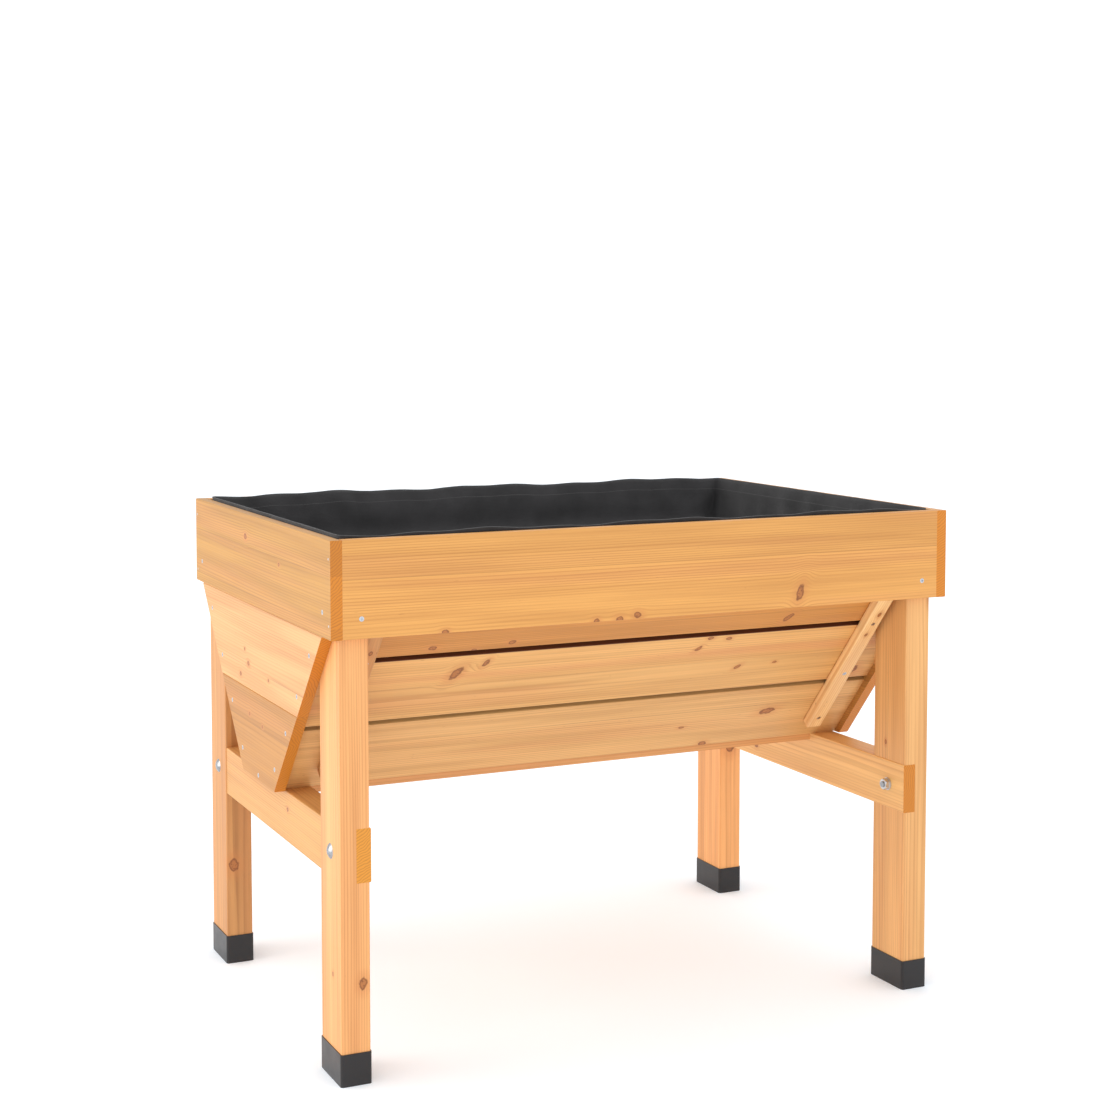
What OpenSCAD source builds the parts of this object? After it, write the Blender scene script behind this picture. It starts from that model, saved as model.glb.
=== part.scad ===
// Raised planter on legs: a V-shaped wooden trough with an upright rim, hung
// between four legs that two cross rails tie together, one rail at each end.
// Origin: middle of the footprint, on the ground. X runs along the trough,
// the front faces -Y, Z is up.

/* [Overall size] */
// Length over the end boards
planter_len = 1060; // [900:10:1400]
// Depth over the front and rear boards
planter_depth = 730; // [700:5:760]
// Height from the ground to the top of the rim
planter_h = 800; // [780:5:850]

/* [Timber] */
// Thickness of the boards and slats
board_t = 18; // [15:1:22]
// Width of a planed board, which is the height of the rim
board_w = 143; // [135:1:145]
// Width of a leg, along X
leg_w = 45; // [40:1:50]
// Depth of a leg, along Y
leg_d = 90; // [80:1:95]
// Rounding of the long edges of legs and rails
edge_r = 3; // [1:0.5:4]
// Rounding of the long edges of boards
board_r = 1.5; // [0.5:0.1:2]
// Rounding of the long edges of battens
batten_r = 3; // [1:0.5:4]

/* [Cross rails] */
// Height of the underside of the cross rails
rail_z = 298; // [280:1:310]
// Height of a cross rail
rail_h = 80; // [70:1:85]
// Thickness of a cross rail
rail_t = 45; // [40:1:50]
// How far the rails stand proud of the legs' inner faces
rail_proud = 2; // [0:0.5:4]

/* [Trough] */
// Half of the end panel's width at its foot
panel_foot = 84; // [75:1:95]
// Lean of the trough's sides, from the vertical
lean = 40.7; // [39:0.1:42]
// How far the slats sit inside the end panel's sloping edge
slat_inset = 12; // [8:1:16]
// Open gap between two slats
slat_gap = 10; // [6:1:12]
// Height of the joint between the two boards of an end panel
panel_joint_z = 518; // [480:1:560]
// Thickness of the floor board under the slats
floor_t = 12; // [10:1:16]
// Width of the floor board
floor_w = 124; // [116:1:130]
// Diameter of a drain hole
drain_d = 12; // [8:1:16]
// Width of a batten, along X
batten_w = 28; // [22:1:34]
// Space between a right-hand batten and the leg beside it
right_batten_space = 11; // [6:1:20]
// The same space at the left end
left_batten_space = 3; // [2:1:20]
// Where a batten starts, up the slope from the panel's foot
batten_low = 34; // [20:1:60]
// Where a batten ends, up the slope, behind the rim
batten_high = 385; // [370:1:388]

/* [Liner] */
// Thickness of the fabric liner
liner_t = 2; // [1:0.5:3]
// Clear space between the liner and the wood
liner_space = 0.5; // [0.3:0.1:1]
// How far the liner's edge lies below the rim
liner_drop = 2; // [0:1:10]

/* [Foot caps] */
// Height of a push-on foot cap
cap_h = 48; // [35:1:60]
// Wall thickness of a foot cap
cap_wall = 1.5; // [1:0.5:3]
// Thickness of a foot cap's base
cap_base = 3; // [2:0.5:5]

/* [Fasteners] */
// Shank diameter of the frame bolts
bolt_d = 10; // [8:1:12]
// Height of the frame bolts above the ground
bolt_z = 338; // [325:1:350]
// Diameter of a bolt's domed head
bolt_head_d = 23.5; // [20:0.5:25]
// Height of that dome
bolt_head_h = 5; // [3.5:0.1:6]
// Head diameter of the wood screws
screw_head_d = 7.5; // [6:0.5:9]
// Shank diameter of the wood screws
screw_d = 3.8; // [3:0.1:4.5]
// Length of the wood screws
screw_len = 45; // [40:1:50]

/* [Hidden] */
$fn = 48;
tiny = 0.1;          // clearance round a screw or a bolt
past = 1;            // how far a cutting shape runs past the wood

half_len = planter_len / 2;
half_depth = planter_depth / 2;
leg_out = half_len - board_t;         // outer face of the legs, along X
leg_in = leg_out - leg_w;             // inner face of the legs, along X
leg_front = half_depth - board_t;     // face of the legs against the rim, along Y
leg_back = leg_front - leg_d;         // face of the legs towards the middle, along Y
rim_z = planter_h - board_w;          // underside of the rim
rail_top = rail_z + rail_h;
rail_in = leg_in - rail_proud;        // inner face of the rails, along X
lap_t = rail_t / 2;                   // thickness of a rail's halved end
leg_mid_x = (leg_out + leg_in) / 2;
leg_mid_y = (leg_front + leg_back) / 2;
leg_top_z = 690;                      // the sloping cut leaves a thin tip here
cleat_h = 18;
cleat_half = 43;                      // half of a floor cleat's width

sl = sin(lean);
cl = cos(lean);
slat_out = slat_inset;                // depth of a slat's outer face inside the slope
slat_in = slat_inset + board_t;       // depth of a slat's inner face
liner_out = slat_in + liner_space;
liner_in = liner_out + liner_t;
// Distances up the slope where the middle and the top slat start.
slat_foot = -slat_out * sl / cl;      // the lower arris stands on the rail tops
slat_pitch = board_w + slat_gap;
mid_start = slat_foot + slat_pitch;
top_start = mid_start + slat_pitch;

washer_t = 2;
washer_d = 21;
neck_h = 5;                           // the square neck that stops a bolt turning
hex_d = 17 / cos(30);                 // across a nut's corners
nut_h = 8;
bolt_end = 2;                         // thread that shows past the nut
bolt_grip = leg_w + rail_proud + washer_t;

panel_screw_s = [30, 120, 208, 302];  // screws up the slope, from the panel's foot
rim_end_screw_s = 398;                // one more, through the rim's end board
rim_screw_z = rim_z + 29;
rim_screw_x = leg_mid_x - 6;
nail_z = [rim_z + 20, rim_z + 116];
batten_screw_s = [58, 178, 306];
floor_screw_x = [-350, 0, 350];
floor_screw_y = 57;
drain_x = [-300, -100, 100, 300];
nail_len = 38;
nail_d = 2.2;
nail_head_d = 3.6;
floor_screw_len = 24;

/* ---- points and placing ---- */

// A point in the Y-Z plane of the front side, s up the panel's sloping edge
// from its foot, and t square to it, into the trough.
function on_slope(s, t) = [-panel_foot - s * sl + t * cl, rail_top + s * cl + t * sl];

// Distance from the middle plane to the sloping face at depth t, at height z.
function slope_y(z, t) = panel_foot + (z - rail_top) * tan(lean) - t / cl;

// Height at which the sloping face at depth t reaches the distance y.
function slope_z(y, t) = rail_top + (y - panel_foot + t / cl) / tan(lean);

// Where a batten's edge towards its leg lies, along X, drawn at the right end.
function batten_edge(left) = leg_in - (left ? left_batten_space : right_batten_space);

// Draws its children on the front slope: Y is the depth t and Z is s, up it.
module on_front_slope() {
    translate([0, -panel_foot, rail_top]) rotate([lean, 0, 0]) children();
}

// Draws its children at the front, and mirrored at the rear when rear is true.
module on_side(rear) {
    if (rear) mirror([0, 1, 0]) children();
    else children();
}

// Draws its children at the right end, or mirrored at the left end.
module at_end(left) {
    if (left) mirror([1, 0, 0]) children();
    else children();
}

// A profile drawn in Y and Z, run along X from x0 to x1.
module along_x(x0, x1) {
    translate([x0, 0, 0]) rotate([90, 0, 90]) linear_extrude(x1 - x0) children();
}

// A rectangle with round corners, from p to q.
module round_rect(p, q, r) {
    translate([p.x + r, p.y]) square([q.x - p.x - 2 * r, q.y - p.y]);
    translate([p.x, p.y + r]) square([q.x - p.x, q.y - p.y - 2 * r]);
    for (x = [p.x + r, q.x - r], y = [p.y + r, q.y - r])
        translate([x, y]) circle(r);
}

/* ---- fasteners ---- */

// A countersunk wood screw along +Z, its head flush with z = 0 and its point
// at -len. grow makes it the hole that the screw fits.
module screw_body(len, grow) {
    head_r = screw_head_d / 2 + grow;
    shank_r = screw_d / 2 + grow;
    head_h = 2.6;
    point_h = 5;
    translate([0, 0, -head_h]) cylinder(h = head_h, r1 = shank_r, r2 = head_r);
    translate([0, 0, point_h - len]) cylinder(h = len - point_h - head_h + tiny, r = shank_r);
    translate([0, 0, -len - grow]) cylinder(h = point_h + grow, r1 = 0.4, r2 = shank_r);
}

module screw(len) {
    recess_w = 0.9;
    recess_l = 4.2;
    recess_h = 1.6;
    difference() {
        screw_body(len, 0);
        for (turn = [0, 90]) rotate([0, 0, turn + 20])
            translate([-recess_l / 2, -recess_w / 2, -recess_h])
                cube([recess_l, recess_w, recess_h + past]);
    }
}

module screw_hole(len) {
    screw_body(len, tiny);
    cylinder(h = past, r = screw_head_d / 2 + tiny);
}

module nail() {
    translate([0, 0, -1]) cylinder(h = 1, d = nail_head_d);
    translate([0, 0, -nail_len]) cylinder(h = nail_len - 1, d = nail_d);
}

module nail_hole() {
    translate([0, 0, -1]) cylinder(h = 1 + past, d = nail_head_d + 2 * tiny);
    translate([0, 0, -nail_len - tiny]) cylinder(h = nail_len, d = nail_d + 2 * tiny);
}

// Turns a screw so that its head faces +X, -Y or -Z.
module face_x() { rotate([0, 90, 0]) children(); }
module face_front() { rotate([90, 0, 0]) children(); }
module face_down() { rotate([180, 0, 0]) children(); }

// Places at one end and one side, which on_side and at_end repeat.
module panel_screw_places() {
    mid = (slat_out + slat_in) / 2;
    for (s = panel_screw_s)
        translate([half_len, on_slope(s, mid).x, on_slope(s, mid).y]) face_x() children();
}

module rim_end_screw_place() {
    mid = (slat_out + slat_in) / 2;
    p = on_slope(rim_end_screw_s, mid);
    translate([half_len, p.x, p.y]) face_x() children();
}

module rim_screw_place() {
    translate([rim_screw_x, -half_depth, rim_screw_z]) face_front() children();
}

module rim_nail_places() {
    for (z = nail_z)
        translate([half_len, -half_depth + board_t / 2, z]) face_x() children();
}

module batten_screw_places(left) {
    x = batten_edge(left) - batten_w / 2;
    for (s = batten_screw_s) {
        p = on_slope(s, slat_out - board_t);
        translate([x, p.x, p.y]) rotate([90 + lean, 0, 0]) children();
    }
}

module floor_screw_places() {
    for (x = floor_screw_x)
        translate([x, -floor_screw_y, rail_top - floor_t]) face_down() children();
}

module cleat_screw_place() {
    translate([half_len, 0, rail_top + cleat_h / 2]) face_x() children();
}

module bolt_place() {
    translate([leg_out, -leg_mid_y, bolt_z]) face_x() children();
}

// Draws its children in all four corners.
module four_corners() {
    for (rear = [false, true], left = [false, true])
        on_side(rear) at_end(left) children();
}

/* ---- timber ---- */

module leg_profile(r) {
    round_rect([leg_in, -leg_front], [leg_out, -leg_back], r);
}

// The front right leg: notched for the rail's halved end, and sawn to the
// slope at the top so that the slats bear on it.
module leg() {
    cut_z = slope_z(leg_back, slat_out);
    difference() {
        translate([0, 0, cap_base]) linear_extrude(leg_top_z - cap_base) leg_profile(edge_r);
        translate([leg_in - past, -leg_front - past, rail_z])
            cube([lap_t - rail_proud + past, leg_d + 2 * past, rail_h]);
        along_x(leg_in - past, leg_out + past)
            polygon([[-leg_back + past, cut_z - past / tan(lean)],
                     [-leg_front - past, slope_z(leg_front + past, slat_out)],
                     [-leg_back + past, slope_z(leg_front + past, slat_out)]]);
        bolt_place() translate([0, 0, -leg_w - past])
            cylinder(h = leg_w + 2 * past, d = bolt_d + 0.5);
        bolt_place() bolt_neck(tiny);
        rim_screw_place() screw_hole(screw_len);
    }
}

// The right cross rail, its ends halved to lie in the legs.
module cross_rail() {
    difference() {
        translate([0, leg_front, 0]) rotate([90, 0, 0]) linear_extrude(2 * leg_front)
            round_rect([rail_in, rail_z], [rail_in + rail_t, rail_top], edge_r - 1);
        for (rear = [false, true]) on_side(rear) {
            translate([rail_in + lap_t, -leg_front - past, rail_z - past])
                cube([lap_t + past, leg_d + past, rail_h + 2 * past]);
            bolt_place() translate([0, 0, -leg_w - rail_proud - past])
                cylinder(h = leg_w + rail_proud + 2 * past, d = bolt_d + 0.5);
        }
    }
}

// The front rim board, held between the end boards.
module long_rim_board() {
    difference() {
        along_x(-leg_out, leg_out)
            round_rect([-half_depth, rim_z], [-leg_front, planter_h], board_r);
        for (left = [false, true]) at_end(left) {
            rim_screw_place() screw_hole(screw_len);
            rim_nail_places() nail_hole();
        }
    }
}

// The right rim board, which covers the ends of the long ones.
module end_rim_board() {
    difference() {
        translate([0, half_depth, 0]) rotate([90, 0, 0]) linear_extrude(planter_depth)
            round_rect([leg_out, rim_z], [half_len, planter_h], board_r);
        for (rear = [false, true]) on_side(rear) {
            rim_end_screw_place() screw_hole(screw_len);
            rim_nail_places() nail_hole();
        }
    }
}

// One board of the right end panel, between two heights, its arrises eased.
module panel_board(z0, z1) {
    difference() {
        along_x(leg_out, half_len)
            polygon([[-slope_y(z0, 0), z0], [slope_y(z0, 0), z0],
                     [slope_y(z1, 0), z1], [-slope_y(z1, 0), z1]]);
        for (z = [z0, z1]) translate([half_len, 0, z]) rotate([0, 45, 0])
            cube([board_r * sqrt(2), planter_depth, board_r * sqrt(2)], center = true);
        for (rear = [false, true]) on_side(rear) panel_screw_places() screw_hole(screw_len);
        cleat_screw_place() screw_hole(screw_len);
    }
}

// The holes that the end panels' screws need in the front slats.
module slat_end_holes() {
    for (left = [false, true]) at_end(left) {
        panel_screw_places() screw_hole(screw_len);
        rim_end_screw_place() screw_hole(screw_len);
        batten_screw_places(left) screw_hole(screw_len - 15);
    }
    floor_screw_places() screw_hole(floor_screw_len);
}

// A front slat between two places up the slope, before its last cut.
module slat(low, high) {
    difference() {
        on_front_slope() along_x(-leg_out, leg_out)
            round_rect([slat_out, low], [slat_in, high], board_r);
        slat_end_holes();
    }
}

// The lowest slat, its lower edge sawn level to stand on the rails and floor.
module slat_low() {
    difference() {
        slat(slat_foot - board_t, slat_foot + board_w);
        translate([-half_len, -half_depth, rail_top - board_w])
            cube([planter_len, half_depth, board_w]);
    }
}

module slat_middle() {
    slat(mid_start, mid_start + board_w);
}

// The top slat, its upper edge sawn upright to lie against the rim board. The
// rim screws pass through the leg's thin tip and end in it.
module slat_top() {
    difference() {
        slat(top_start, top_start + board_w);
        translate([-half_len, -leg_front - board_w, rim_z])
            cube([planter_len, board_w, board_w]);
        for (left = [false, true]) at_end(left) rim_screw_place() screw_hole(screw_len);
    }
}

// A front batten, drawn at the right end, which ties the slats together beside
// the leg. Its screws are at the spacing of its own end.
module batten(left) {
    x1 = batten_edge(left);
    difference() {
        on_front_slope() translate([0, 0, batten_low]) linear_extrude(batten_high - batten_low)
            round_rect([x1 - batten_w, slat_out - board_t], [x1, slat_out], batten_r);
        batten_screw_places(left) screw_hole(screw_len - 15);
    }
}

module floor_board() {
    color("burlywood") difference() {
        translate([-rail_in, -floor_w / 2, rail_top - floor_t]) cube([2 * rail_in, floor_w, floor_t]);
        for (rear = [false, true]) on_side(rear) floor_screw_places() screw_hole(floor_screw_len);
        for (x = drain_x)
            translate([x, 0, rail_top - floor_t - past]) cylinder(h = floor_t + 2 * past, d = drain_d);
    }
}

// The block on the right rail that closes the trough's foot.
module floor_cleat() {
    difference() {
        translate([leg_in, -cleat_half, rail_top]) cube([leg_w, 2 * cleat_half, cleat_h]);
        cleat_screw_place() screw_hole(screw_len);
    }
}

/* ---- liner and caps ---- */

// The liner's profile at depth t inside the slope, from a flat foot at height z.
module liner_profile(t, z, side_y) {
    top_z = planter_h - liner_drop;
    polygon([[-slope_y(z, t), z], [slope_y(z, t), z],
             [side_y, slope_z(side_y, t)], [side_y, top_z],
             [-side_y, top_z], [-side_y, slope_z(side_y, t)]]);
}

// An open-topped bag, its foot stepped up over the floor cleats at both ends.
module liner() {
    foot_z = rail_top + liner_space;
    step_z = rail_top + cleat_h + liner_space;
    wall_y = leg_front - liner_space;
    end_x = leg_out - liner_space;
    step_x = leg_in - liner_space;
    color("dimgray") difference() {
        union() {
            along_x(-step_x, step_x) liner_profile(liner_out, foot_z, wall_y);
            along_x(-end_x, end_x) liner_profile(liner_out, step_z, wall_y);
        }
        union() {
            along_x(-step_x + liner_t, step_x - liner_t)
                liner_profile(liner_in, foot_z + liner_t, wall_y - liner_t);
            along_x(-end_x + liner_t, end_x - liner_t)
                liner_profile(liner_in, step_z + liner_t, wall_y - liner_t);
        }
        translate([-end_x + liner_t, -wall_y + liner_t, planter_h - liner_drop - past])
            cube([2 * (end_x - liner_t), 2 * (wall_y - liner_t), 2 * past]);
    }
}

// The front right push-on foot cap.
module foot_cap() {
    difference() {
        linear_extrude(cap_h)
            round_rect([leg_in - cap_wall, -leg_front - cap_wall],
                       [leg_out + cap_wall, -leg_back + cap_wall], edge_r + cap_wall);
        translate([0, 0, cap_base]) linear_extrude(cap_h) leg_profile(edge_r);
    }
}

/* ---- metal ---- */

// A coach bolt's square neck, sunk in the leg. grow makes it the pocket.
module bolt_neck(grow) {
    side = bolt_d + 2 * grow;
    translate([-side / 2, -side / 2, -neck_h - grow]) cube([side, side, neck_h + grow + tiny]);
}

// A coach bolt: a smooth domed head outside, its end just past the nut.
module frame_bolt() {
    dome_r = (bolt_head_d * bolt_head_d / 4 + bolt_head_h * bolt_head_h) / (2 * bolt_head_h);
    shank = bolt_grip + nut_h + bolt_end;
    intersection() {
        translate([0, 0, bolt_head_h - dome_r]) sphere(dome_r);
        cylinder(h = bolt_head_h + past, d = bolt_head_d + past);
    }
    bolt_neck(0);
    translate([0, 0, -shank]) cylinder(h = shank, d = bolt_d);
}

module washer() {
    difference() {
        cylinder(h = washer_t, d = washer_d);
        translate([0, 0, -past]) cylinder(h = washer_t + 2 * past, d = bolt_d + 0.5);
    }
}

// A hexagon nut whose outer corners are turned off.
module nut() {
    difference() {
        intersection() {
            cylinder(h = nut_h, d = hex_d, $fn = 6);
            cylinder(h = nut_h + 2.4, d1 = hex_d + 5.4, d2 = hex_d - 5);
        }
        translate([0, 0, -past]) cylinder(h = nut_h + 2 * past, d = bolt_d + 2 * tiny);
    }
}

module frame_bolts() { color("silver") four_corners() bolt_place() frame_bolt(); }

module bolt_washers() {
    color("silver") four_corners() bolt_place() translate([0, 0, -bolt_grip]) washer();
}

module frame_nuts() {
    color("silver") four_corners() bolt_place()
        translate([0, 0, -bolt_grip]) mirror([0, 0, 1]) nut();
}

module rim_screws() { color("silver") four_corners() rim_screw_place() screw(screw_len); }

module panel_screws() {
    color("silver") four_corners() {
        panel_screw_places() screw(screw_len);
        rim_end_screw_place() screw(screw_len);
    }
}

module batten_screws() {
    color("silver") for (rear = [false, true], left = [false, true])
        on_side(rear) at_end(left) batten_screw_places(left) screw(screw_len - 15);
}

module floor_screws() {
    color("silver") for (rear = [false, true]) on_side(rear) floor_screw_places() screw(floor_screw_len);
}

module cleat_screws() {
    color("silver") for (left = [false, true]) at_end(left) cleat_screw_place() screw(screw_len);
}

module rim_nails() { color("silver") four_corners() rim_nail_places() nail(); }

/* ---- one module for each named part ---- */

module front_left_leg() { color("burlywood") at_end(true) leg(); }
module front_right_leg() { color("burlywood") leg(); }
module rear_left_leg() { color("burlywood") on_side(true) at_end(true) leg(); }
module rear_right_leg() { color("burlywood") on_side(true) leg(); }
module front_left_foot_cap() { color("dimgray") at_end(true) foot_cap(); }
module front_right_foot_cap() { color("dimgray") foot_cap(); }
module rear_left_foot_cap() { color("dimgray") on_side(true) at_end(true) foot_cap(); }
module rear_right_foot_cap() { color("dimgray") on_side(true) foot_cap(); }
module left_cross_rail() { color("burlywood") at_end(true) cross_rail(); }
module right_cross_rail() { color("burlywood") cross_rail(); }
module front_rim_board() { color("sandybrown") long_rim_board(); }
module rear_rim_board() { color("sandybrown") on_side(true) long_rim_board(); }
module left_rim_board() { color("sandybrown") at_end(true) end_rim_board(); }
module right_rim_board() { color("sandybrown") end_rim_board(); }
module left_panel_upper() { color("burlywood") at_end(true) panel_board(panel_joint_z, rim_z); }
module left_panel_lower() { color("burlywood") at_end(true) panel_board(rail_top, panel_joint_z); }
module right_panel_upper() { color("burlywood") panel_board(panel_joint_z, rim_z); }
module right_panel_lower() { color("burlywood") panel_board(rail_top, panel_joint_z); }
module front_slat_low() { color("burlywood") slat_low(); }
module front_slat_middle() { color("burlywood") slat_middle(); }
module front_slat_top() { color("burlywood") slat_top(); }
module rear_slat_low() { color("burlywood") on_side(true) slat_low(); }
module rear_slat_middle() { color("burlywood") on_side(true) slat_middle(); }
module rear_slat_top() { color("burlywood") on_side(true) slat_top(); }
module front_left_batten() { color("burlywood") at_end(true) batten(true); }
module front_right_batten() { color("burlywood") batten(false); }
module rear_left_batten() { color("burlywood") on_side(true) at_end(true) batten(true); }
module rear_right_batten() { color("burlywood") on_side(true) batten(false); }
module left_floor_cleat() { color("burlywood") at_end(true) floor_cleat(); }
module right_floor_cleat() { color("burlywood") floor_cleat(); }

front_left_leg();
front_right_leg();
rear_left_leg();
rear_right_leg();
front_left_foot_cap();
front_right_foot_cap();
rear_left_foot_cap();
rear_right_foot_cap();
left_cross_rail();
right_cross_rail();
front_rim_board();
rear_rim_board();
left_rim_board();
right_rim_board();
left_panel_upper();
left_panel_lower();
right_panel_upper();
right_panel_lower();
front_slat_low();
front_slat_middle();
front_slat_top();
rear_slat_low();
rear_slat_middle();
rear_slat_top();
front_left_batten();
front_right_batten();
rear_left_batten();
rear_right_batten();
floor_board();
left_floor_cleat();
right_floor_cleat();
liner();
frame_bolts();
bolt_washers();
frame_nuts();
rim_screws();
panel_screws();
batten_screws();
floor_screws();
cleat_screws();
rim_nails();
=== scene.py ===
# %% [markdown]
# # A raised planter, finished in Blender
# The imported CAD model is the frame: every board, leg and bolt is already where it belongs. This lesson
# gives each piece of timber its own grain, finishes the metal and the plastic, and lays a fabric liner
# into the trough. Everything is in metres, with +X along the trough and the front facing -Y.

# %% Load the frame
import math
import bpy
import numpy as np
from mathutils import Matrix, Vector


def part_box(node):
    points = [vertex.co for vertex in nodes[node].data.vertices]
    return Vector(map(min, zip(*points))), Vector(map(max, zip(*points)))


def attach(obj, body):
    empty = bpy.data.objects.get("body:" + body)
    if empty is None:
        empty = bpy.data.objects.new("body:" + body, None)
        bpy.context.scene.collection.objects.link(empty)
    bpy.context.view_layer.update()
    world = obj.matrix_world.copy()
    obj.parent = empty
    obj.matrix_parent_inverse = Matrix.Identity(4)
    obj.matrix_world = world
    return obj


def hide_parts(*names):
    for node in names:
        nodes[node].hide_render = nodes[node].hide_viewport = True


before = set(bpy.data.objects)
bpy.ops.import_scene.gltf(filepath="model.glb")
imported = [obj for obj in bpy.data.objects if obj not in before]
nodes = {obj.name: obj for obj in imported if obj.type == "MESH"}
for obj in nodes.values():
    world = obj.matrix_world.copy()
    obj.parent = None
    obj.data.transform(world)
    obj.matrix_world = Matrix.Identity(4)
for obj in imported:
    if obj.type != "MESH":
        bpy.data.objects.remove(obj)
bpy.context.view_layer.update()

# %% [markdown]
# ## The camera
# The planter is seen from the front left, from a little above its rim. A long lens keeps the uprights
# nearly parallel, and the lens is shifted down so that they stay upright in the picture.

# %% Camera
sensor_mm, lens_mm, lens_shift = 36.0, 63.65, -0.09
camera_place = (-1.4042, -2.9670, 1.1097)
camera_turn, camera_tilt = math.radians(25.06), math.radians(3.83)
camera_data = bpy.data.cameras.new("camera")
camera_data.sensor_width = sensor_mm
camera_data.lens = lens_mm
camera_data.shift_y = lens_shift
camera = bpy.data.objects.new("camera", camera_data)
camera.location = camera_place
camera.rotation_euler = (math.pi / 2 - camera_tilt, 0.0, -camera_turn)
bpy.context.scene.collection.objects.link(camera)
bpy.context.scene.camera = camera
print("camera at", tuple(camera.location), "lens", camera_data.lens)

# %% [markdown]
# ## Small helpers
# A material is a tree of nodes. One function adds a node: values in order go to its inputs, names are its
# settings or its inputs, and a node given as a value is linked. Colours are written as sRGB hex values,
# as a paint chart gives them, and turned to the linear values that the shader works in.

# %% Helpers for materials
MM = 1000.0  # millimetres in a metre


def add(tree, kind, *values, **named):
    """Adds a shader node, sets what is a setting, and fills or links its inputs."""
    node = tree.nodes.new("ShaderNode" + kind)
    settings = {k: v for k, v in named.items() if k in node.bl_rna.properties}
    for key, value in settings.items():
        setattr(node, key, value)
    open_inputs = [s for s in node.inputs if s.enabled]
    by_name = {s.name: s for s in reversed(open_inputs)}
    pairs = list(zip(open_inputs, values))
    pairs += [(by_name[k.replace("_", " ")], v) for k, v in named.items() if k not in settings]
    for socket, value in pairs:
        if isinstance(value, bpy.types.Node):
            value = next(s for s in value.outputs if s.enabled)
        if isinstance(value, bpy.types.NodeSocket):
            tree.links.new(value, socket)
        else:
            socket.default_value = value
    return node


def linear(hex_value):
    """An sRGB colour such as F2B66D as linear red, green, blue and a full alpha."""
    channels = np.array([int(hex_value[i:i + 2], 16) for i in (0, 2, 4)]) / 255.0
    low = channels / 12.92
    high = ((channels + 0.055) / 1.055) ** 2.4
    return (*np.where(channels <= 0.04045, low, high).tolist(), 1.0)


def new_material(name):
    """An empty material with an output node, and its tree."""
    material = bpy.data.materials.new(name)
    material.use_nodes = True
    material.node_tree.nodes.clear()
    return material, material.node_tree


def close_material(tree, shader):
    """Links the shader to the material's output."""
    output = add(tree, "OutputMaterial")
    tree.links.new(shader.outputs[0], output.inputs["Surface"])


print("helpers ready; a pale timber tone is", linear("F4BE7C"))

# %% [markdown]
# ## Timber: planed fir with a honey stain
# A board is cut out of a tree, so its pattern is the tree's: growth rings round a pith that lies outside
# the board. Working out the distance to that pith gives fine straight grain on the faces and arcs on the
# sawn ends, all from one rule. Wide boards are glued up from narrower strips, and each strip came from
# another tree, so its pith and its tone are picked again at every glue line.
#
# An image of wood would be quicker, but it would repeat from board to board and smear on the ends. A
# pattern worked out in the board's own millimetres does neither. First comes that space.

# %% The board's own space
def board_space(tree, node, along, across):
    """Millimetres from the board's middle: u along it, v across it and w through it."""
    low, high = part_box(node)
    u_axis, v_axis = Vector(along).normalized(), Vector(across).normalized()
    turn = Matrix((u_axis, v_axis, u_axis.cross(v_axis)))
    shift = -(turn @ ((low + high) / 2 * MM))
    place = add(tree, "TexCoord").outputs["Object"]
    to_mm = (MM, MM, MM)
    return add(tree, "Mapping", place, shift, turn.to_euler(), to_mm, vector_type="POINT").outputs[0]


def half_width(node, across):
    """Half a board's width in millimetres, measured on its own corners."""
    v_axis = Vector(across).normalized()
    reach = [v_axis.dot(vertex.co) for vertex in nodes[node].data.vertices]
    return (max(reach) - min(reach)) / 2 * MM


def stretched(tree, board, scale, strip_step=None, **noise):
    """Noise on the board, stretched by its scale along u, v and w, and moved on in every strip."""
    place = add(tree, "VectorMath", board, scale, operation="MULTIPLY")
    if strip_step:
        place = add(tree, "VectorMath", place, strip_step, operation="ADD")
    return add(tree, "TexNoise", place, Scale=1.0, **noise).outputs["Fac"]


print("a board is", MM, "units to the metre in its own space")

# %% [markdown]
# ### Strips, knots and rings
# Counting the glue lines that a point has passed gives the number of its strip, and white noise turns
# that number into three chances. Knots push the rings aside: near one, the pattern is looked up closer to
# the knot's heart, so the grain flows round it.

# %% Strips, knots and rings
LINE_MM = 0.7      # half the width of a glue line, drawn wider than a real one so that it shows
RING_MM = 4.0      # one year's growth is about 2.5 mm, drawn wider so that its lines show
WANDER_MM = 9.0    # how far the rings stray sideways along a board
UNEVEN = 2.4       # by how many rings their spacing varies
LATE_START, LATE_PEAK = 0.42, 0.88   # where in a ring the dark late wood begins, and where it is darkest
RAGGED = 0.22      # how ragged a knot's outline is, in its own radii
FLOW, FLOW_FADE = -0.8, -0.2   # how hard a knot pushes the grain, and how fast that fades with distance
LONG, LONG_TURNED = 0.7, 0.5   # a knot is longer along u: by 1 / 0.7, or 1 / 0.5 where it is turned


def strips(tree, v, lines, seed):
    """The number of the strip, its three chances, and how much of a glue line a point is in."""
    strip = add(tree, "Math", 0.0, float(seed), operation="ADD")
    joint = add(tree, "Math", 0.0, 0.0, operation="ADD")
    for line in lines:
        past = add(tree, "Math", v, float(line), operation="GREATER_THAN")
        strip = add(tree, "Math", strip, past, operation="ADD")
        gap = add(tree, "Math", v, float(line), operation="SUBTRACT")
        gap = add(tree, "Math", gap, operation="ABSOLUTE")
        near = add(tree, "MapRange", gap, 0.0, LINE_MM, 1.0, 0.0, interpolation_type="SMOOTHSTEP")
        joint = add(tree, "Math", joint, near, operation="MAXIMUM")
    chance = add(tree, "TexWhiteNoise", strip, noise_dimensions="1D")
    return strip, add(tree, "SeparateColor", chance.outputs["Color"]).outputs, joint


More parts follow.
